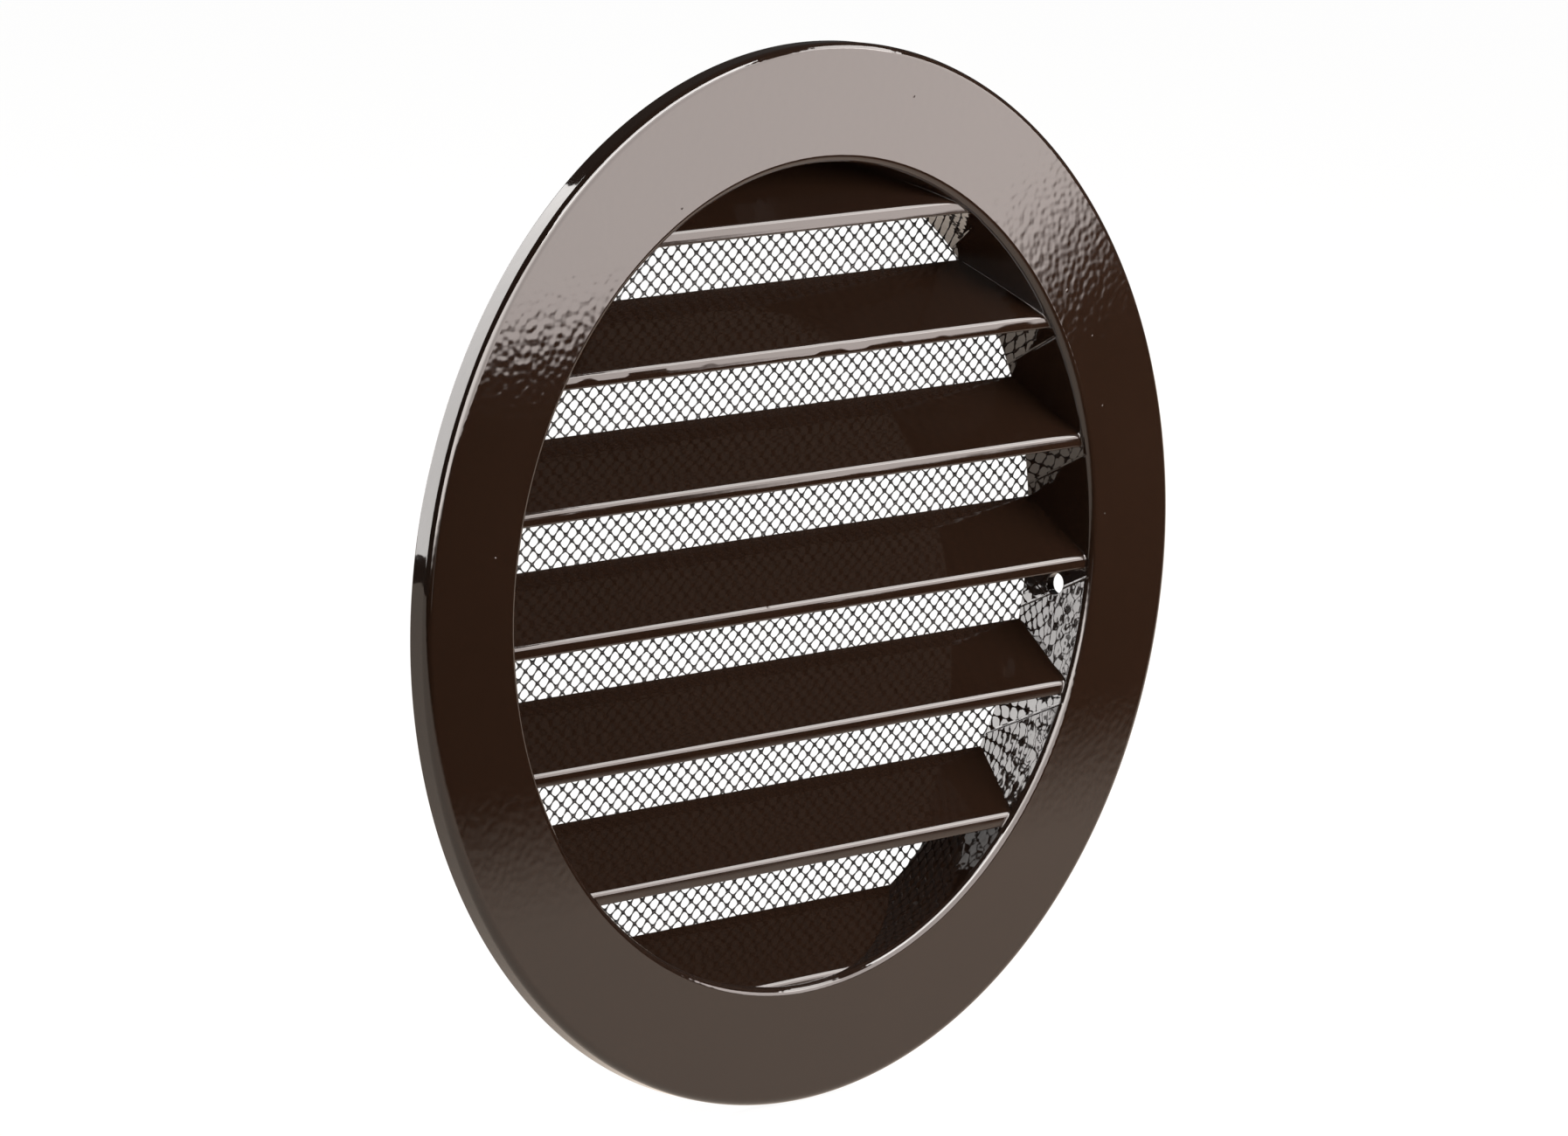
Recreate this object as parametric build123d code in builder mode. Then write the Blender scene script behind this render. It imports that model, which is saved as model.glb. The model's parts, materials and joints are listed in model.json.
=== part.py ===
from build123d import *
import os
from math import cos, radians, sin, tan

os.makedirs("parts", exist_ok=True)

# Round louvre grille for a 125 mm duct: one painted casting with fixed slats, and a woven
# insect mesh bonded to its back. Millimetres. The front faces -Y, +Z is up, the slats run along X.
# The origin is on the collar's axis, in the plane where the rim seats on the wall.

# Flange with its rim turned back to the wall
flange_diameter = 153.0
rim_depth = 3.6
face_wall = 1.8
rim_wall = 1.8
rim_edge_round = 0.8

# Collar that goes into the duct
collar_bore = 118.8
collar_wall = 1.6
collar_depth = 9.5
mouth_round = 1.2

# Fixed slats, counted from the top, each higher at the back than at its nose
slat_count = 7
slat_pitch = 18.4
slat_thickness = 1.8
slat_angle = 33.6
slat_setback = 1.25
middle_slat_drop = 3.54
nose_top_round = 1.0
nose_bottom_round = 0.35

# Two fixing holes across the collar, between slats
fixing_hole_diameter = 3.2
fixing_hole_setback = 3.25
fixing_hole_drop = 8.35

# Woven mesh: two crossing layers of strands, bonded to the end of the collar
strand_width = 1.7
strand_height = 0.3
rising_pitch = 11.5
falling_pitch = 13.1
rising_angle = 40.5
falling_angle = 40.2
mesh_edge_inset = 0.8

# Radii and planes that several features share
flange_radius = flange_diameter / 2
bore_radius = collar_bore / 2
collar_radius = bore_radius + collar_wall
face_y = -rim_depth
channel_y = face_y + face_wall
nose_y = face_y + slat_setback
slat_rise = (collar_depth - nose_y) * tan(radians(slat_angle))
nose_height = slat_thickness / cos(radians(slat_angle))
top_nose_z = (slat_count - 1) / 2 * slat_pitch - middle_slat_drop
collar_middle = bore_radius + collar_wall / 2

# Blades of all the slats, trimmed so that their ends are rooted halfway into the collar's wall
with BuildPart() as blades:
    with BuildSketch(Plane.YZ):
        for slat in range(slat_count):
            nose_z = top_nose_z - slat * slat_pitch
            with BuildLine():
                Polyline(
                    (nose_y, nose_z),
                    (collar_depth, nose_z + slat_rise),
                    (collar_depth, nose_z + slat_rise - nose_height),
                    (nose_y, nose_z - nose_height),
                    close=True,
                )
            make_face()
        fillet(vertices().group_by(Axis.X)[0].sort_by(Axis.Y)[1::2], nose_top_round)
        fillet(vertices().group_by(Axis.X)[0].sort_by(Axis.Y)[0::2], nose_bottom_round)
    extrude(amount=collar_radius, both=True)
    with BuildSketch(Plane.XZ):
        Circle(collar_middle)
    extrude(amount=flange_diameter, both=True, mode=Mode.INTERSECT)

# Casting: flange, rim and collar turned as one section, with the slats cast in
with BuildPart() as grille_casting:
    with BuildSketch():
        with BuildLine():
            Polyline(
                (bore_radius, face_y),
                (flange_radius, face_y),
                (flange_radius, 0),
                (flange_radius - rim_wall, 0),
                (flange_radius - rim_wall, channel_y),
                (collar_radius, channel_y),
                (collar_radius, collar_depth),
                (bore_radius, collar_depth),
                close=True,
            )
        make_face()
        fillet(vertices().group_by(Axis.Y)[0].sort_by(Axis.X)[0], mouth_round)
        fillet(vertices().group_by(Axis.Y)[0].sort_by(Axis.X)[-1], rim_edge_round)
    revolve(axis=Axis.Y)
    add(blades.part)
    for side in (-1, 1):
        with BuildSketch(Plane.YZ.offset(side * collar_middle)):
            with Locations((fixing_hole_setback, -fixing_hole_drop)):
                Circle(fixing_hole_diameter / 2)
        extrude(amount=2 * collar_wall, both=True, mode=Mode.SUBTRACT)
grille_casting.part.label = "grille_casting"
export_step(grille_casting.part, "parts/grille_casting.step")

# Insect mesh: strands that rise to the right lie in front, and strands that fall lie behind
mesh_radius = collar_radius - mesh_edge_inset
with BuildPart() as insect_mesh:
    layers = [
        (collar_depth, radians(rising_angle), rising_pitch),
        (collar_depth + strand_height, radians(-falling_angle), falling_pitch),
    ]
    for layer_y, turn, pitch in layers:
        along_strand = (cos(turn), 0, sin(turn))
        strand_total = 2 * int(mesh_radius / pitch) + 1
        with BuildSketch(Plane((0, layer_y, 0), x_dir=along_strand, z_dir=(0, -1, 0))):
            with GridLocations(0, pitch, 1, strand_total):
                Rectangle(2 * mesh_radius, strand_width)
        extrude(amount=-strand_height)
    with BuildSketch(Plane.XZ.offset(-collar_depth)):
        Circle(mesh_radius)
    extrude(amount=-len(layers) * strand_height, mode=Mode.INTERSECT)
insect_mesh.part.label = "insect_mesh"
export_step(insect_mesh.part, "parts/insect_mesh.step")
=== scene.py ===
import bpy
import json
import math
import numpy as np
from mathutils import Matrix, Vector


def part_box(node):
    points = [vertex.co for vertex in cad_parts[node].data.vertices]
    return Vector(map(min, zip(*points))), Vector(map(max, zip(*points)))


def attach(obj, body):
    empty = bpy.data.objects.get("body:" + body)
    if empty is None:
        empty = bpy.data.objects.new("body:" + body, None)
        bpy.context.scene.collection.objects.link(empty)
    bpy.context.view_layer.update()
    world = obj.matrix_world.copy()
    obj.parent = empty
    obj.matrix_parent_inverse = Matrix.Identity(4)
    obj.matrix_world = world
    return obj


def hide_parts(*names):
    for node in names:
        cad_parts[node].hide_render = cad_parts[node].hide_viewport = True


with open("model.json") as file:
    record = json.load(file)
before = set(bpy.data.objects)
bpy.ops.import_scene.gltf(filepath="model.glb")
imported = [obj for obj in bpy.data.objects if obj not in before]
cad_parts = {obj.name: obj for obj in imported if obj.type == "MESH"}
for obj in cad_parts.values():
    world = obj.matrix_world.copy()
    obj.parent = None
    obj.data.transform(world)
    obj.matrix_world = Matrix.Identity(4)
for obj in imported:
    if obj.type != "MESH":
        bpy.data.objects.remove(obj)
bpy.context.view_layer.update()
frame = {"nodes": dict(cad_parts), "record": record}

mm = 0.001
tiny = 1e-6  # a turn or length below this counts as none
castLow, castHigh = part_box("grille_casting")
meshLow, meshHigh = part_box("insect_mesh")
mounts = {m["name"]: m for m in frame["record"]["mounts"]}
print("frame loaded:", sorted(frame["nodes"]))


def unit(v):
    return v / np.linalg.norm(v)


def clamped(share):
    return max(0.0, min(1.0, share))


def newObject(name, points, faces):
    mesh = bpy.data.meshes.new(name)
    mesh.from_pydata(points, [], faces)
    obj = bpy.data.objects.new(name, mesh)
    bpy.context.scene.collection.objects.link(obj)
    return obj


def shadeSmooth(mesh):
    mesh.polygons.foreach_set("use_smooth", [True] * len(mesh.polygons))


# Closed section from corners (u, v, radius), solid on the left of travel. Gives points and outward normals.
def roundedSection(corners, steps):
    points, normals = [], []
    for i, (u, v, radius) in enumerate(corners):
        here = np.array((u, v))
        into = unit(here - np.array(corners[i - 1][:2]))
        out = unit(np.array(corners[(i + 1) % len(corners)][:2]) - here)
        right = np.array((into[1], -into[0]))
        turn = math.atan2(into[0] * out[1] - into[1] * out[0], float(into @ out))
        if radius == 0 or abs(turn) < tiny:
            points.append(here)
            normals.append(right)
            continue
        side = math.copysign(1, turn)
        start = here - into * radius * math.tan(abs(turn) / 2)
        centre = start - right * radius * side
        for k in range(steps + 1):
            a = turn * k / steps
            n = np.array((right[0] * math.cos(a) - right[1] * math.sin(a),
                          right[0] * math.sin(a) + right[1] * math.cos(a)))
            points.append(centre + n * radius * side)
            normals.append(n)
    return np.array(points), np.array(normals)


# Collects vertices, normals and faces of one piece, and turns each face to agree with its normals
class Builder:
    def __init__(self):
        self.points, self.normals, self.faces = [], [], []

    def add(self, point, normal):
        self.points.append(tuple(point))
        self.normals.append(tuple(unit(np.array(normal, float))))
        return len(self.points) - 1

    def face(self, *corners):
        p = np.array([self.points[c] for c in corners])
        n = np.array([self.normals[c] for c in corners]).sum(0)
        facing = sum(np.cross(p[i] - p[0], p[i + 1] - p[0]) for i in range(1, len(p) - 1))
        self.faces.append(corners if facing @ n >= 0 else corners[::-1])

    def band(self, first, second, closed):
        count = len(first)
        for j in range(count if closed else count - 1):
            k = (j + 1) % count
            self.face(first[j], second[j], second[k], first[k])

    def piece(self, name):
        obj = newObject(name, self.points, self.faces)
        shadeSmooth(obj.data)
        obj.data.normals_split_custom_set_from_vertices(self.normals)
        obj.data.update()
        return obj


# Casting: flange, rim, collar and seven slats in one piece
casting = {
    "boreRadius": 59.4 * mm,
    "faceWall": 1.8 * mm,
    "rimWall": 1.8 * mm,
    "rimEdgeRound": 1.2 * mm,
    "mouthRound": 1.2 * mm,
    "backEdgeRound": 0.25 * mm,
    "channelRound": 0.7 * mm,
    "turnSteps": 360,
    "roundSteps": 8,
    "holeLip": 0.15 * mm,
    "holeLipSteps": 3,
    "holeRings": (0.35, 0.7, 1.0),  # shares of the way from a window's edge to the hole
    "holeWindowTurns": 4,
    "holeWindowRows": 6,
    "holeWindowDepth": 6.0 * mm,
    "slatCount": 7,
    "slatPitch": 18.4 * mm,
    "slatThickness": 1.8 * mm,
    "slatAngle": math.radians(33.6),
    "slatSetback": 1.25 * mm,
    "middleSlatDrop": 3.54 * mm,
    "noseTopRound": 1.0 * mm,
    "noseBottomRound": 0.35 * mm,
    "noseCrown": 0.04 * mm,
    "noseCrownRadius": 10.0 * mm,
    "slatBackRound": 0.2 * mm,
    "noseFillet": 0.35 * mm,
    "slatFillet": 0.05 * mm,
    "noseFilletDepth": 1.5 * mm,
    "filletRunOut": 1.2 * mm,  # length at the back over which the end fillets shrink to nothing
    "filletSteps": 6,
    "leastReach": 0.4 * mm,  # half length of a slat where it leaves the bore's circle
    "slatRootDepth": 0.5 * mm,
    "slatSpans": 22,
    "slatColumns": 30,
}
flangeRadius = castHigh.x
faceY = castLow.y
backY = castHigh.y
collarRadius = mounts["duct_collar"]["dims"]["r_mm"] * mm
holeRadius = mounts["fixing_hole_right"]["dims"]["r_mm"] * mm
holeY, holeZ = mounts["fixing_hole_right"]["pos_m"][1:]
bore = casting["boreRadius"]
noseY = faceY + casting["slatSetback"]
slatSlope = math.tan(casting["slatAngle"])


# Flange, rim and collar turned about Y. At each fixing hole the collar has a window inside and outside.
def turnedRing(build):
    c = casting
    channelY = faceY + c["faceWall"]
    rimInside = flangeRadius - c["rimWall"]
    rows = c["holeWindowRows"]
    windowYs = [holeY + c["holeWindowDepth"] * (k / rows - 0.5) for k in range(rows + 1)]
    corners = [(bore, backY, c["backEdgeRound"])]
    corners += [(bore, y, 0) for y in reversed(windowYs)]
    corners += [
        (bore, faceY, c["mouthRound"]),
        (flangeRadius, faceY, c["rimEdgeRound"]),
        (flangeRadius, 0, c["backEdgeRound"]),
        (rimInside, 0, c["backEdgeRound"]),
        (rimInside, channelY, c["channelRound"]),
        (collarRadius, channelY, c["channelRound"]),
    ]
    corners += [(collarRadius, y, 0) for y in windowYs]
    corners += [(collarRadius, backY, c["backEdgeRound"])]
    section, sectionNormals = roundedSection(corners, c["roundSteps"])
    turns = c["turnSteps"]
    angles = [2 * math.pi * j / turns for j in range(turns)]
    grid = []
    for (r, y), (nr, ny) in zip(section, sectionNormals):
        grid.append([build.add((r * math.cos(a), y, r * math.sin(a)),
                               (nr * math.cos(a), ny, nr * math.sin(a))) for a in angles])

    def rowAt(radius, y):
        return min(range(len(section)), key=lambda i: math.dist(section[i], (radius, y)))

    innerRows = [rowAt(bore, y) for y in windowYs]
    outerRows = [rowAt(collarRadius, y) for y in windowYs]
    reach = c["holeWindowTurns"]
    middle = round(math.degrees(math.asin(holeZ / bore)) * turns / 360)
    windowColumns = {}
    for side, centre in ((1, middle), (-1, turns // 2 - middle)):
        windowColumns[side] = [(centre + k) % turns for k in range(-reach, reach + 1)]
    openCells = set()
    for columns in windowColumns.values():
        for wallRows in (innerRows, outerRows):
            low, high = min(wallRows), max(wallRows)
            openCells |= {(i, j) for i in range(low, high) for j in columns[:-1]}
    for i in range(len(section)):
        nextRow = (i + 1) % len(section)
        for j in range(turns):
            if (i, j) not in openCells:
                k = (j + 1) % turns
                build.face(grid[i][j], grid[nextRow][j], grid[nextRow][k], grid[i][k])
    for side, columns in windowColumns.items():
        mouths = []
        for radius, wallRows, inward in ((bore, innerRows, 1), (collarRadius, outerRows, -1)):
            edge = [grid[wallRows[0]][j] for j in columns]
            edge += [grid[i][columns[-1]] for i in wallRows[1:]]
            edge += [grid[wallRows[-1]][j] for j in reversed(columns[:-1])]
            edge += [grid[i][columns[0]] for i in reversed(wallRows[1:-1])]
            mouths.append(holeMouth(build, edge, radius, side, inward))
        build.band(mouths[0], mouths[1], True)


# Grid from a window's edge to the round hole, then over a small lip into the hole
def holeMouth(build, edge, radius, side, inward):
    lip, lipSteps = casting["holeLip"], casting["holeLipSteps"]
    edgePoints = [np.array(build.points[v]) for v in edge]
    around = [math.atan2(p[2] - holeZ, p[1] - holeY) for p in edgePoints]

    def onWall(y, z):
        x = math.sqrt(radius ** 2 - z ** 2)
        return np.array((side * x, y, z)), -inward * np.array((side * x, 0, z)) / radius

    ring = edge
    for share in casting["holeRings"]:
        nextRing = []
        for p, a in zip(edgePoints, around):
            y = p[1] + (holeY + (holeRadius + lip) * math.cos(a) - p[1]) * share
            z = p[2] + (holeZ + (holeRadius + lip) * math.sin(a) - p[2]) * share
            nextRing.append(build.add(*onWall(y, z)))
        build.band(ring, nextRing, True)
        ring = nextRing
    for step in range(1, lipSteps + 1):
        bend = math.pi / 2 * step / lipSteps
        ringRadius = holeRadius + lip * (1 - math.sin(bend))
        nextRing = []
        for a in around:
            p, n = onWall(holeY + ringRadius * math.cos(a), holeZ + ringRadius * math.sin(a))
            p = p + np.array((side * inward * lip * (1 - math.cos(bend)), 0, 0))
            toAxis = np.array((0, -math.cos(a), -math.sin(a)))
            nextRing.append(build.add(p, n * math.cos(bend) + toAxis * math.sin(bend)))
        build.band(ring, nextRing, True)
        ring = nextRing
    return ring


def slatNoseZ(index):
    return ((casting["slatCount"] - 1) / 2 - index) * casting["slatPitch"] - casting["middleSlatDrop"]


# Section of one slat across its length, in Y and Z
def slatSection(index):
    c = casting
    spans = c["slatSpans"]
    top = slatNoseZ(index)
    noseHeight = c["slatThickness"] / math.cos(c["slatAngle"])
    bottom = top - noseHeight
    backTop = top + (backY - noseY) * slatSlope
    spanYs = [noseY + (backY - noseY) * k / spans for k in range(1, spans)]
    corners = [(noseY, bottom, c["noseBottomRound"])]
    corners += [(y, bottom + (y - noseY) * slatSlope, 0) for y in spanYs]
    corners += [(backY, z, c["slatBackRound"]) for z in (backTop - noseHeight, backTop)]
    corners += [(y, top + (y - noseY) * slatSlope, 0) for y in reversed(spanYs)]
    corners.append((noseY, top, c["noseTopRound"]))
    corners.append((noseY - c["noseCrown"], top - noseHeight / 2, c["noseCrownRadius"]))
    return roundedSection(corners, c["roundSteps"])


# One slat: its section run along X, each end flared into the collar's wall
def slatBlade(build, index):
    c = casting
    mirror = np.array((-1, 1, 1))
    rows = []
    for (y, z), (ny, nz) in zip(*slatSection(index)):
        normal = np.array((0, ny, nz))
        reach = math.sqrt(max(bore ** 2 - z ** 2, c["leastReach"] ** 2))
        runOut = clamped((backY - y) / c["filletRunOut"])
        nose = clamped(2 - (y - noseY) / c["noseFilletDepth"])
        flare = c["slatFillet"] + (c["noseFillet"] - c["slatFillet"]) * nose
        flare = min(flare * runOut, reach / 2)
        wall = np.array((-reach, 0, -z)) / math.hypot(reach, z)
        corner = np.array((reach, y, z))
        alongWall = normal - wall * (normal @ wall)
        lift = np.linalg.norm(alongWall)
        foot = corner + (alongWall / lift * flare if lift > tiny else 0)
        start = corner - np.array((flare, 0, 0))
        right = []
        for k in range(1, c["filletSteps"] + 1):
            s = k / c["filletSteps"]
            p = start * (1 - s) ** 2 + corner * 2 * s * (1 - s) + foot * s ** 2
            right.append((p, normal * (1 - s) + wall * s))
        # root inside the wall
        p = right[-1][0]
        grow = (bore + c["slatRootDepth"]) / max(math.hypot(p[0], p[2]), bore)
        right.append((np.array((p[0] * grow, p[1], p[2] * grow)), wall))
        half = max(reach - flare, 0)
        middle = [(np.array((half * (2 * k / c["slatColumns"] - 1), y, z)), normal)
                  for k in range(c["slatColumns"] + 1)]
        left = [(p * mirror, n * mirror) for p, n in reversed(right)]
        rows.append([build.add(p, n) for p, n in left + middle + right])
    for i in range(len(rows)):
        build.band(rows[i - 1], rows[i], False)
    build.faces.append([row[0] for row in rows])
    build.faces.append([row[-1] for row in reversed(rows)])


castingBuild = Builder()
turnedRing(castingBuild)
for slat in range(casting["slatCount"]):
    slatBlade(castingBuild, slat)
grilleCasting = castingBuild.piece("grilleCasting")
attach(grilleCasting, "root")
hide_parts("grille_casting")
print("casting made:", len(grilleCasting.data.polygons), "faces")

# Insect mesh: two families of coated yarn woven over and under, swollen where they cross
weave = {
    "risingAngle": math.radians(40.5),
    "fallingAngle": math.radians(-40.2),
    "risingPitch": 1.53 * mm,
    "fallingPitch": 1.743 * mm,
    "risingShift": 0.0,
    "fallingShift": 0.0,
    "yarnRadius": 0.088 * mm,
    "knotRadius": 0.22 * mm,
    "knotSpread": 1.6,  # breadth of a knot over its height
    "knotSharpness": 6,
    "waveHeight": 0.08 * mm,
    "sides": 5,
    "knotSteps": (0.0, 0.17, 0.5, 0.83),  # rings between two crossings
    "endMargin": 0.06,  # no ring closer to a yarn's end, in crossings
    "edgeInset": 0.2 * mm,
    "edgeRoom": 3,  # no yarn closer to the edge, in yarn radii
}
meshRadius = meshHigh.x - weave["edgeInset"]
meshY = (meshLow.y + meshHigh.y) / 2


# All yarns of one family: own and other are (angle, pitch, shift), sign says which goes over first
def yarnFamily(name, own, other, sign):
    w = weave
    angle, pitch, shift = own
    otherAngle, otherPitch, otherShift = other
    along = np.array((math.cos(angle), 0, math.sin(angle)))
    across = np.array((-math.sin(angle), 0, math.cos(angle)))
    otherAcross = np.array((-math.sin(otherAngle), 0, math.cos(otherAngle)))
    stretch = otherPitch / float(along @ otherAcross)
    points, faces = [], []
    sides = w["sides"]
    total = int(meshRadius / pitch) + 1
    for i in range(-total, total + 1):
        offset = (i + shift) * pitch
        if abs(offset) > meshRadius - w["yarnRadius"] * w["edgeRoom"]:
            continue
        half = math.sqrt(meshRadius ** 2 - offset ** 2)
        base = across * offset
        start = (base @ otherAcross) / otherPitch - otherShift
        first, last = sorted(start + t / stretch for t in (-half, half))
        inner = [k + part for k in range(math.floor(first), math.ceil(last)) for part in w["knotSteps"]]
        inner = [m for m in inner if first + w["endMargin"] < m < last - w["endMargin"]]
        marks = [-half] + sorted((m - start) * stretch for m in inner) + [half]
        ring = None
        for t in marks:
            crossing = ((base + along * t) @ otherAcross) / otherPitch - otherShift
            lean = math.cos(math.pi * (crossing + i))
            knot = abs(math.cos(math.pi * crossing)) ** w["knotSharpness"]
            radius = w["yarnRadius"] + (w["knotRadius"] - w["yarnRadius"]) * knot
            breadth = radius * (1 + (w["knotSpread"] - 1) * knot)
            centre = base + along * t + np.array((0, meshY + sign * w["waveHeight"] * lean, 0))
            newRing = []
            for s in range(sides):
                a = 2 * math.pi * s / sides
                p = centre + across * breadth * math.cos(a) + np.array((0, radius * math.sin(a), 0))
                newRing.append(len(points))
                points.append(tuple(p))
            if ring:
                for s in range(sides):
                    q = (s + 1) % sides
                    faces.append((ring[s], ring[q], newRing[q], newRing[s]))
            else:
                faces.append(tuple(newRing))
            ring = newRing
        faces.append(tuple(reversed(ring)))
    obj = newObject(name, points, faces)
    shadeSmooth(obj.data)
    obj.data.update()
    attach(obj, "root")
    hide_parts("insect_mesh")
    return obj


rising = (weave["risingAngle"], weave["risingPitch"], weave["risingShift"])
falling = (weave["fallingAngle"], weave["fallingPitch"], weave["fallingShift"])
risingYarns = yarnFamily("risingYarns", rising, falling, -1)
fallingYarns = yarnFamily("fallingYarns", falling, rising, 1)
print("mesh woven:", len(risingYarns.data.polygons), len(fallingYarns.data.polygons), "faces")


# Nodes for the materials, the world and the lamps
def newMaterial(name):
    material = bpy.data.materials.new(name)
    material.use_nodes = True
    material.node_tree.nodes.clear()
    return material, material.node_tree


# Each input takes a value or another node's output
def addNode(tree, kind, inputs=None, **settings):
    node = tree.nodes.new(kind)
    for key, value in settings.items():
        setattr(node, key, value)
    for key, value in (inputs or {}).items():
        if isinstance(value, bpy.types.NodeSocket):
            tree.links.new(value, node.inputs[key])
        else:
            node.inputs[key].default_value = value
    return node


def mathOf(tree, operation, *inputs):
    return addNode(tree, "ShaderNodeMath", dict(enumerate(inputs)), operation=operation).outputs[0]


def vectorOf(tree, operation, *inputs):
    node = addNode(tree, "ShaderNodeVectorMath", dict(enumerate(inputs)), operation=operation)
    return node.outputs["Value" if operation in ("LENGTH", "DOT_PRODUCT") else "Vector"]


# Goes from low to high while the value goes from start to end
def rampOf(tree, value, start, end, low=0.0, high=1.0, kind="SMOOTHSTEP"):
    inputs = {"Value": value, "From Min": start, "From Max": end, "To Min": low, "To Max": high}
    return addNode(tree, "ShaderNodeMapRange", inputs, interpolation_type=kind).outputs[0]


def noiseOf(tree, place, scale, detail):
    inputs = {"Vector": place, "Scale": scale, "Detail": detail}
    return addNode(tree, "ShaderNodeTexNoise", inputs).outputs["Fac"]


def colourOf(tree, factor, first, second):
    return addNode(tree, "ShaderNodeMix", {0: factor, 6: first, 7: second}, data_type="RGBA").outputs[2]


# Relief on top of an earlier normal, its distance in metres
def bumpOf(tree, height, distance, normal=None, strength=1.0):
    inputs = {"Strength": strength, "Distance": distance, "Height": height}
    if normal is not None:
        inputs["Normal"] = normal
    return addNode(tree, "ShaderNodeBump", inputs).outputs[0]


paint = {
    "brownDeep": (0.0172, 0.0088, 0.0052, 1),
    "brownLight": (0.0218, 0.0112, 0.0068, 1),
    "cloudScale": 45.0,
    "roughness": (0.03, 0.055),
    "refraction": 1.5,
    "boreMargin": 0.1 * mm,  # the slats end this far inside the bore, for the paint
    "mouthMargin": 0.2 * mm,  # the flange starts this far outside the bore, for the paint
    "peelScale": 900.0,
    "slatPeelHeight": 1.7e-6,
    "borePeelHeight": 2.2e-5,
    "flangePeelHeight": 1.15e-5,
    "runScale": (100.0, 900.0, 900.0),
    "runHeight": 1.5e-5,
    "dippedSlat": 1,  # counted from 0 at the top
    "dipDrop": 0.9 * mm,
    "dipReach": 1.8 * mm,
    "dipScale": 105.0,
    "dipRange": (0.5, 0.62),
    "dipLean": math.radians(2.0),
    "partingFront": 15.1 * mm,
    "partingBack": 1.6 * mm,
    "frontPocketTop": -39.5 * mm,
    "frontDraft": math.radians(4.0),
    "backDraft": math.radians(4.0),
    "draftBlend": 0.1 * mm,
    "partingBead": 4.0e-5,
    "partingReach": 0.3 * mm,
    "holeRunScale": 320.0,
    "holeRunReach": 6.5 * mm,
    "holeRunHeight": 1.0e-4,
    "nibScale": 150.0,
    "nibReach": 0.05,
    "nibHeight": 2.0e-5,
}


# Height above the mould's parting line on the bore, which runs from each slat's nose to the back of the
# slat below. In the lowest pocket all of the wall counts as below the line.
def abovePartingLine(tree, place, axes):
    pitch = casting["slatPitch"]
    fall = (paint["partingFront"] - paint["partingBack"]) / (backY - noseY)
    aboveNose = vectorOf(tree, "DOT_PRODUCT", place, (0, -slatSlope, 1))
    lifted = mathOf(tree, "ADD", aboveNose, slatSlope * noseY + casting["middleSlatDrop"])
    aboveSlat = mathOf(tree, "FLOORED_MODULO", lifted, pitch)
    fallen = mathOf(tree, "MULTIPLY_ADD", axes["Y"], fall, aboveSlat)
    fromLine = mathOf(tree, "SUBTRACT", fallen, paint["partingFront"] + fall * noseY)
    inPocket = mathOf(tree, "LESS_THAN", axes["Z"], paint["frontPocketTop"])
    return mathOf(tree, "MULTIPLY_ADD", inPocket, -pitch, fromLine)


# Dips in the paint along the nose of one slat, as a lean of its normal
def noseDips(tree, axes):
    middle = slatNoseZ(paint["dippedSlat"]) - paint["dipDrop"]
    onNose = mathOf(tree, "COMPARE", axes["Z"], middle, paint["dipReach"])
    inputs = {"W": axes["X"], "Scale": paint["dipScale"], "Detail": 0.0}
    ripple = addNode(tree, "ShaderNodeTexNoise", inputs, noise_dimensions="1D").outputs["Fac"]
    dip = rampOf(tree, ripple, *paint["dipRange"], 0.0, -math.tan(paint["dipLean"]))
    return mathOf(tree, "MULTIPLY", dip, onNose)


# Distance from the axis of the fixing holes
def fromHoleAxis(tree, place):
    spot = vectorOf(tree, "SUBTRACT", place, (0, holeY, holeZ))
    return vectorOf(tree, "LENGTH", vectorOf(tree, "MULTIPLY", spot, (0, 1, 1)))


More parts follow.
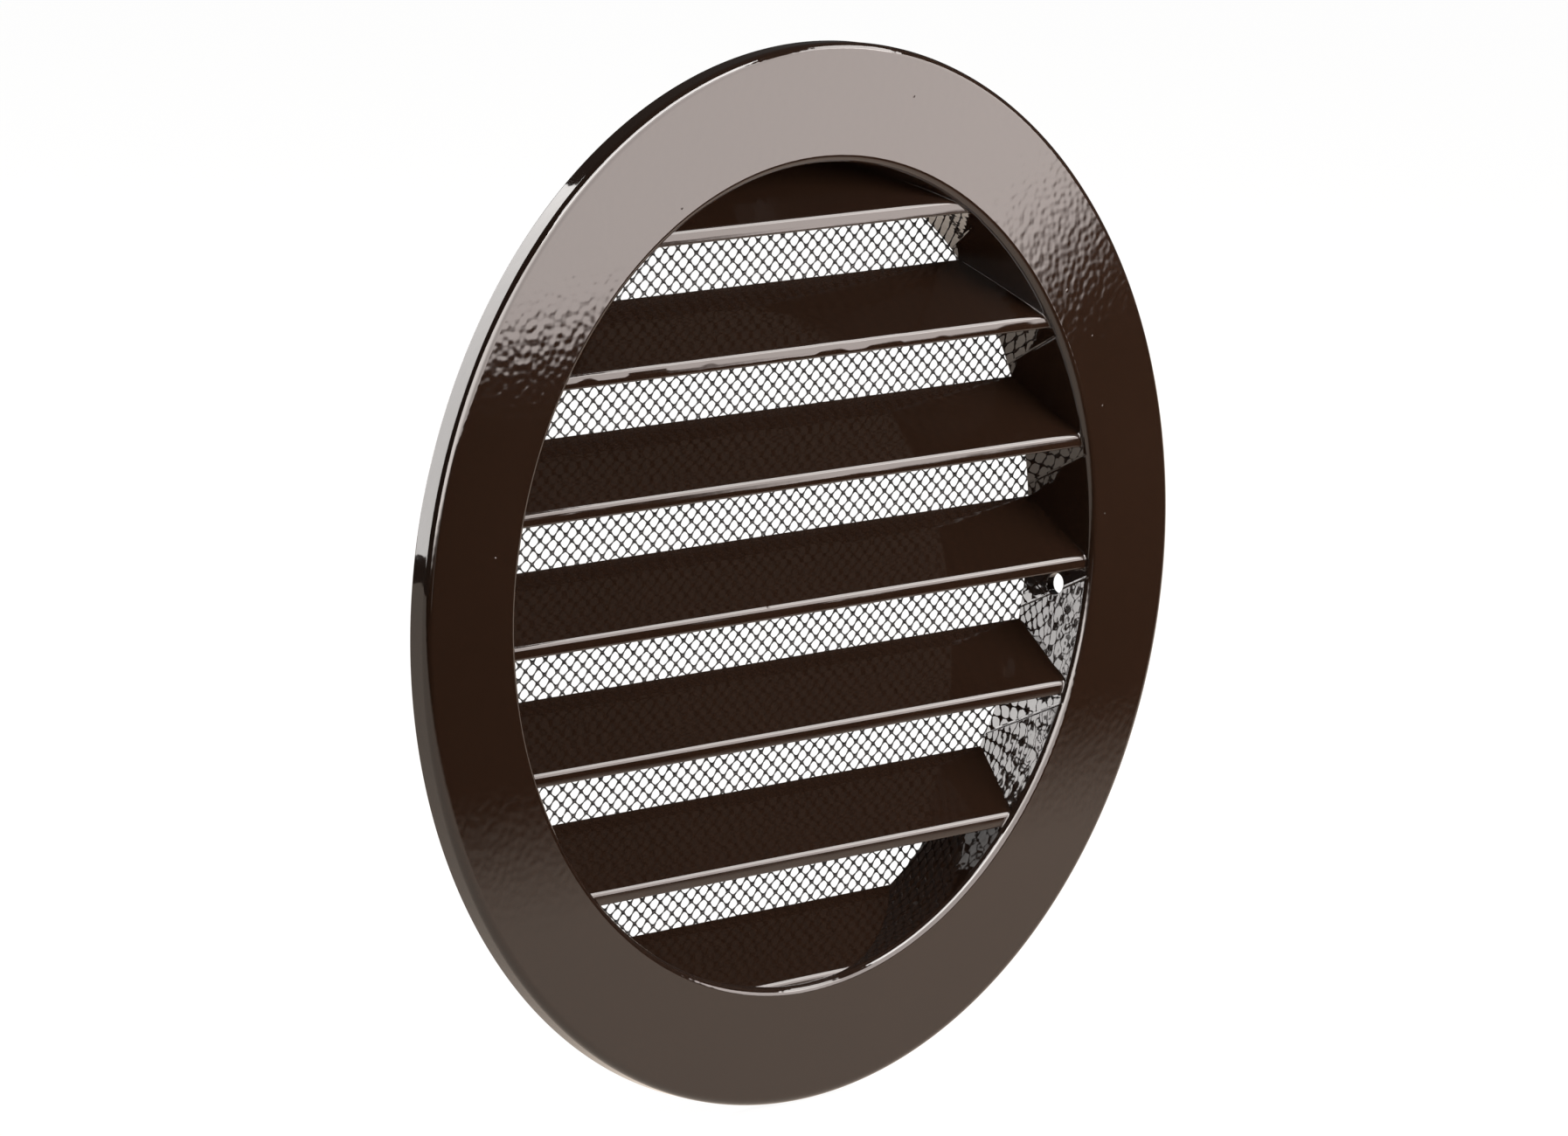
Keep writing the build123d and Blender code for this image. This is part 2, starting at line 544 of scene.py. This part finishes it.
def castingPaint():
    material, tree = newMaterial("brownPowderCoat")
    place = addNode(tree, "ShaderNodeTexCoord").outputs["Object"]
    axes = addNode(tree, "ShaderNodeSeparateXYZ", {0: place}).outputs
    # distance from the axis tells slats, bore and flange apart
    flatPlace = addNode(tree, "ShaderNodeCombineXYZ", {"X": axes["X"], "Z": axes["Z"]}).outputs[0]
    radius = vectorOf(tree, "LENGTH", flatPlace)
    onRing = mathOf(tree, "GREATER_THAN", radius, bore - paint["boreMargin"])
    onFlange = mathOf(tree, "GREATER_THAN", radius, bore + paint["mouthMargin"])
    onBore = mathOf(tree, "SUBTRACT", onRing, onFlange)
    offRing = mathOf(tree, "SUBTRACT", 1.0, onRing)
    # the wall opens to the front below the parting line and to the back above it
    fromLine = abovePartingLine(tree, place, axes)
    blend = paint["draftBlend"]
    frontLean, backLean = -math.tan(paint["frontDraft"]), math.tan(paint["backDraft"])
    draft = rampOf(tree, fromLine, -blend, blend, frontLean, backLean, "LINEAR")
    boreDraft = mathOf(tree, "MULTIPLY", draft, onBore)
    slatDip = mathOf(tree, "MULTIPLY", noseDips(tree, axes), offRing)
    lean = addNode(tree, "ShaderNodeCombineXYZ", {"Y": boreDraft, "Z": slatDip}).outputs[0]
    normal = addNode(tree, "ShaderNodeNewGeometry").outputs["Normal"]
    relief = vectorOf(tree, "NORMALIZE", vectorOf(tree, "ADD", normal, lean))
    # bead of paint along the parting line
    bead = rampOf(tree, mathOf(tree, "ABSOLUTE", fromLine), paint["partingReach"], 0.0)
    relief = bumpOf(tree, bead, mathOf(tree, "MULTIPLY", onBore, paint["partingBead"]), relief)
    # paint gathered round the fixing holes
    nearHole = rampOf(tree, fromHoleAxis(tree, place), paint["holeRunReach"], holeRadius,
                      0.0, paint["holeRunHeight"])
    swirl = noiseOf(tree, place, paint["holeRunScale"], detail=1.0)
    relief = bumpOf(tree, swirl, mathOf(tree, "MULTIPLY", nearHole, onBore), relief)
    # runs of paint along the slats' lips
    stretched = vectorOf(tree, "MULTIPLY", place, paint["runScale"])
    runs = noiseOf(tree, stretched, scale=1.0, detail=1.0)
    relief = bumpOf(tree, runs, mathOf(tree, "MULTIPLY", offRing, paint["runHeight"]), relief)
    # orange peel, strongest in the bore and faint on the slats
    onSlat, inBore, onFace = paint["slatPeelHeight"], paint["borePeelHeight"], paint["flangePeelHeight"]
    depth = mathOf(tree, "MULTIPLY_ADD", onRing, inBore - onSlat, onSlat)
    depth = mathOf(tree, "MULTIPLY_ADD", onFlange, onFace - inBore, depth)
    relief = bumpOf(tree, noiseOf(tree, place, paint["peelScale"], detail=0.0), depth, relief)
    # sparse nibs of dust under the coat
    cells = addNode(tree, "ShaderNodeTexVoronoi", {"Vector": place, "Scale": paint["nibScale"]})
    nib = rampOf(tree, cells.outputs["Distance"], paint["nibReach"], 0.0)
    relief = bumpOf(tree, nib, paint["nibHeight"], relief)
    # colour and gloss vary a little
    cloud = noiseOf(tree, place, paint["cloudScale"], detail=3.0)
    shader = addNode(tree, "ShaderNodeBsdfPrincipled", {
        "Base Color": colourOf(tree, cloud, paint["brownDeep"], paint["brownLight"]),
        "Roughness": rampOf(tree, cloud, 0.0, 1.0, *paint["roughness"], "LINEAR"),
        "IOR": paint["refraction"],
        "Normal": relief,
    })
    addNode(tree, "ShaderNodeOutputMaterial", {0: shader.outputs[0]})
    return material


yarnCoat = {
    "dark": (0.010, 0.010, 0.011, 1),
    "grey": (0.030, 0.029, 0.029, 1),
    "cloudScale": 300.0,
    "roughness": 0.5,
    "refraction": 1.5,
    "grainScale": 4000.0,
    "grainHeight": 1e-5,
    "grainStrength": 0.4,
}


def meshYarnCoat():
    material, tree = newMaterial("blackYarnCoat")
    place = addNode(tree, "ShaderNodeTexCoord").outputs["Object"]
    cloud = noiseOf(tree, place, yarnCoat["cloudScale"], detail=2.0)
    grain = noiseOf(tree, place, yarnCoat["grainScale"], detail=1.0)
    shader = addNode(tree, "ShaderNodeBsdfPrincipled", {
        "Base Color": colourOf(tree, cloud, yarnCoat["dark"], yarnCoat["grey"]),
        "Roughness": yarnCoat["roughness"],
        "IOR": yarnCoat["refraction"],
        "Normal": bumpOf(tree, grain, yarnCoat["grainHeight"], strength=yarnCoat["grainStrength"]),
    })
    addNode(tree, "ShaderNodeOutputMaterial", {0: shader.outputs[0]})
    return material


grilleCasting.data.materials.append(castingPaint())
yarnMaterial = meshYarnCoat()
for yarns in (risingYarns, fallingYarns):
    yarns.data.materials.append(yarnMaterial)
print("materials set")

# Floor and world: white where the camera looks, a studio with a dark front for reflections
studio = {
    "floorColour": (0.80, 0.78, 0.76, 1),
    "floorMirrored": (1.15, 0.99, 0.85, 1),
    "floorFade": (-0.21, -0.11),
    "floorFadeAlong": (-0.05, 1, 0),
    "floorHalfWidth": 1.8,
    "floorGap": 0.2 * mm,
    "floorWhite": 0.94,
    "floorShadow": 0.16,
    "frontGlow": 0.05,
    "backGlow": 0.06,
    "glowTurn": (-0.1, 0.15),  # from front to back, as the Y of a direction
    "diffuseGlow": 0.30,
}


# The kinds of ray, and whether one comes from the camera, straight or through something clear
def rayKinds(tree):
    rays = addNode(tree, "ShaderNodeLightPath").outputs
    return rays, mathOf(tree, "MAXIMUM", rays["Is Camera Ray"], rays["Is Transmission Ray"])


def whiteFloor():
    z = castLow.z - studio["floorGap"]
    x = studio["floorHalfWidth"]
    floor = newObject("studioFloor", [(-x, -x, z), (x, -x, z), (x, x, z), (-x, x, z)], [(0, 1, 2, 3)])
    material, tree = newMaterial("paleFloor")
    rays, seen = rayKinds(tree)
    # towards the camera the floor falls into the dark of the room, as reflections show it
    place = addNode(tree, "ShaderNodeTexCoord").outputs["Object"]
    along = vectorOf(tree, "DOT_PRODUCT", place, studio["floorFadeAlong"])
    inputs = {"Color": studio["floorMirrored"], "Strength": rampOf(tree, along, *studio["floorFade"])}
    mirrored = addNode(tree, "ShaderNodeEmission", inputs).outputs[0]
    # to the camera it is white with a faint shadow
    diffuse = addNode(tree, "ShaderNodeBsdfDiffuse", {"Color": studio["floorColour"]}).outputs[0]
    white = addNode(tree, "ShaderNodeEmission", {"Strength": studio["floorWhite"]}).outputs[0]
    shaded = addNode(tree, "ShaderNodeMixShader", {0: studio["floorShadow"], 2: diffuse}).outputs[0]
    whole = addNode(tree, "ShaderNodeAddShader", {0: shaded, 1: white}).outputs[0]
    toEye = addNode(tree, "ShaderNodeMixShader", {0: seen, 1: diffuse, 2: whole}).outputs[0]
    toGloss = addNode(tree, "ShaderNodeMixShader", {0: rays["Is Glossy Ray"], 1: toEye, 2: mirrored})
    addNode(tree, "ShaderNodeOutputMaterial", {0: toGloss.outputs[0]})
    floor.data.materials.append(material)


def studioWorld():
    world = bpy.data.worlds.new("studioWorld")
    bpy.context.scene.world = world
    world.use_nodes = True
    tree = world.node_tree
    tree.nodes.clear()
    rays, seen = rayKinds(tree)

    def levelOf(factor, first, second):
        inputs = {"Factor": factor, "A": first, "B": second}
        return addNode(tree, "ShaderNodeMix", inputs, data_type="FLOAT").outputs[0]

    way = addNode(tree, "ShaderNodeTexCoord").outputs["Generated"]
    backward = addNode(tree, "ShaderNodeSeparateXYZ", {0: way}).outputs["Y"]
    glow = rampOf(tree, backward, *studio["glowTurn"], studio["frontGlow"], studio["backGlow"])
    strength = levelOf(seen, levelOf(rays["Is Glossy Ray"], studio["diffuseGlow"], glow), 1.0)
    background = addNode(tree, "ShaderNodeBackground", {"Color": (1, 1, 1, 1), "Strength": strength})
    addNode(tree, "ShaderNodeOutputWorld", {0: background.outputs[0]})


whiteFloor()
studioWorld()
print("floor and world set")

# Lamps: soft panels, each given by its place, where it faces, its size and how bright it looks.
# A fade dims a panel along a direction between two positions, if need be only from or up to some x.
fadeBlend = 0.03  # width on each side of such an x
leftFades = [
    {"along": (0.28, 0, 1), "dark": 0.048, "full": 0.060, "fromX": -0.14},
    {"along": (0, 0, 1), "dark": 0.0, "full": 0.10, "upToX": -0.14},
]
lamps = {
    "frontPanel": {
        "place": (0.47, -0.45, 0.135), "faces": (0.47, 0.0, 0.135), "size": (0.9, 0.43),
        "glow": 6.8, "tint": (1.0, 0.90, 0.86), "diffuse": True,
        "fades": [
            {"along": (-0.1, 0, 1), "dark": -0.0915, "full": -0.0795, "upToX": 0.445},
            {"along": (-0.6, 0, 1), "dark": -0.388, "full": -0.350},
            {"along": (0.28, 0, 1), "dark": 0.048, "full": 0.060, "upToX": 0.42},
        ],
    },
    "frontMiddle": {
        "place": (-0.315, -0.45, 0.275), "faces": (-0.315, 0.0, 0.275), "size": (0.67, 0.65),
        "glow": 6.8, "tint": (1.0, 0.92, 0.88), "fades": leftFades,
    },
    "frontUpper": {
        "place": (0.62, -0.36, 0.457), "faces": (0.0, -0.36, 0.457), "size": (0.42, 0.24),
        "glow": 9.2, "tint": (1.0, 0.94, 0.91), "tilt": 35.0,
    },
    "frontLeft": {
        "place": (-0.2, -0.452, 0.275), "faces": (-0.2, 0.0, 0.275), "size": (0.9, 0.65),
        "glow": 7.7, "tint": (1.0, 0.93, 0.88),
        "fades": leftFades + [{"along": (-1, 0, 0.6), "dark": 0.05, "full": 0.42}],
    },
    "frontHigh": {
        "place": (0.22, -0.45, 0.475), "faces": (0.22, 0.0, 0.475), "size": (0.4, 0.25),
        "glow": 9.0, "tint": (1.0, 0.93, 0.90),
    },
    "topPanel": {
        "place": (0.2, -0.56, 0.9), "faces": (0.2, 0.0, 0.0), "size": (0.95, 0.35),
        "glow": 17.0, "tint": (1.0, 0.96, 0.94),
    },
    "backPanel": {
        "place": (-0.75, 0.86, 0.575), "faces": (-0.75, 0.0, 0.575), "size": (1.50, 1.03),
        "glow": 9.5, "tint": (1.0, 0.97, 0.95),
    },
    "backLamp": {
        "place": (-0.1, 0.7, 0.9), "faces": (0, 0, 0), "size": (0.012, 0.012),
        "glow": 12500.0, "tint": (1.0, 0.97, 0.95), "diffuse": True, "gloss": False,
    },
}


def fadePanel(light, fades):
    light.use_nodes = True
    tree = light.node_tree
    place = addNode(tree, "ShaderNodeNewGeometry").outputs["Position"]

    def ramp(along, dark, full):
        return rampOf(tree, vectorOf(tree, "DOT_PRODUCT", place, along), dark, full)

    level = None
    for fade in fades:
        part = ramp(fade["along"], fade["dark"], fade["full"])
        if "upToX" in fade:
            limit = fade["upToX"]
            part = mathOf(tree, "MAXIMUM", part, ramp((1, 0, 0), limit - fadeBlend, limit + fadeBlend))
        if "fromX" in fade:
            limit = -fade["fromX"]
            part = mathOf(tree, "MAXIMUM", part, ramp((-1, 0, 0), limit - fadeBlend, limit + fadeBlend))
        level = part if level is None else mathOf(tree, "MULTIPLY", level, part)
    tree.links.new(level, tree.nodes["Emission"].inputs["Strength"])


def softLamp(name, lamp):
    width, height = lamp["size"]
    light = bpy.data.lights.new(name, "AREA")
    light.shape = "RECTANGLE"
    light.size, light.size_y = width, height
    light.energy = lamp["glow"] * math.pi * width * height
    light.color = lamp["tint"]
    obj = bpy.data.objects.new(name, light)
    bpy.context.scene.collection.objects.link(obj)
    obj.location = lamp["place"]
    aim = Vector(lamp["faces"]) - Vector(lamp["place"])
    obj.rotation_mode = "QUATERNION"
    roll = Matrix.Rotation(math.radians(lamp.get("tilt", 0.0)), 4, "Z").to_quaternion()
    obj.rotation_quaternion = aim.to_track_quat("-Z", "Y") @ roll
    if "fades" in lamp:
        fadePanel(light, lamp["fades"])
    obj.visible_camera = False
    obj.visible_diffuse = lamp.get("diffuse", False)
    obj.visible_glossy = lamp.get("gloss", True)


for name, lamp in lamps.items():
    softLamp(name, lamp)
print("studio lit")

# Camera at the photograph's viewing angle
viewpoint = {
    "place": (-0.7943, -0.7573, 0.1842),
    "heading": math.radians(46.259),
    "pitch": math.radians(-9.482),
    "roll": math.radians(0.832),
    "lens": 178.58,
    "sensor": 36,
    "clip": (0.01, 50),
}


def photoCamera():
    v = viewpoint
    look = Vector((math.sin(v["heading"]) * math.cos(v["pitch"]),
                   math.cos(v["heading"]) * math.cos(v["pitch"]), math.sin(v["pitch"])))
    level = look.cross(Vector((0, 0, 1))).normalized()
    upright = level.cross(look)
    right = level * math.cos(v["roll"]) + upright * math.sin(v["roll"])
    up = right.cross(look)
    data = bpy.data.cameras.new("photoCamera")
    data.sensor_width = v["sensor"]
    data.lens = v["lens"]
    data.clip_start, data.clip_end = v["clip"]
    camera = bpy.data.objects.new("photoCamera", data)
    bpy.context.scene.collection.objects.link(camera)
    turn = Matrix((right, up, -look)).transposed()
    camera.matrix_world = Matrix.Translation(v["place"]) @ turn.to_4x4()
    bpy.context.scene.camera = camera


photoCamera()
bpy.context.scene.view_settings.view_transform = "Standard"
print("camera set")
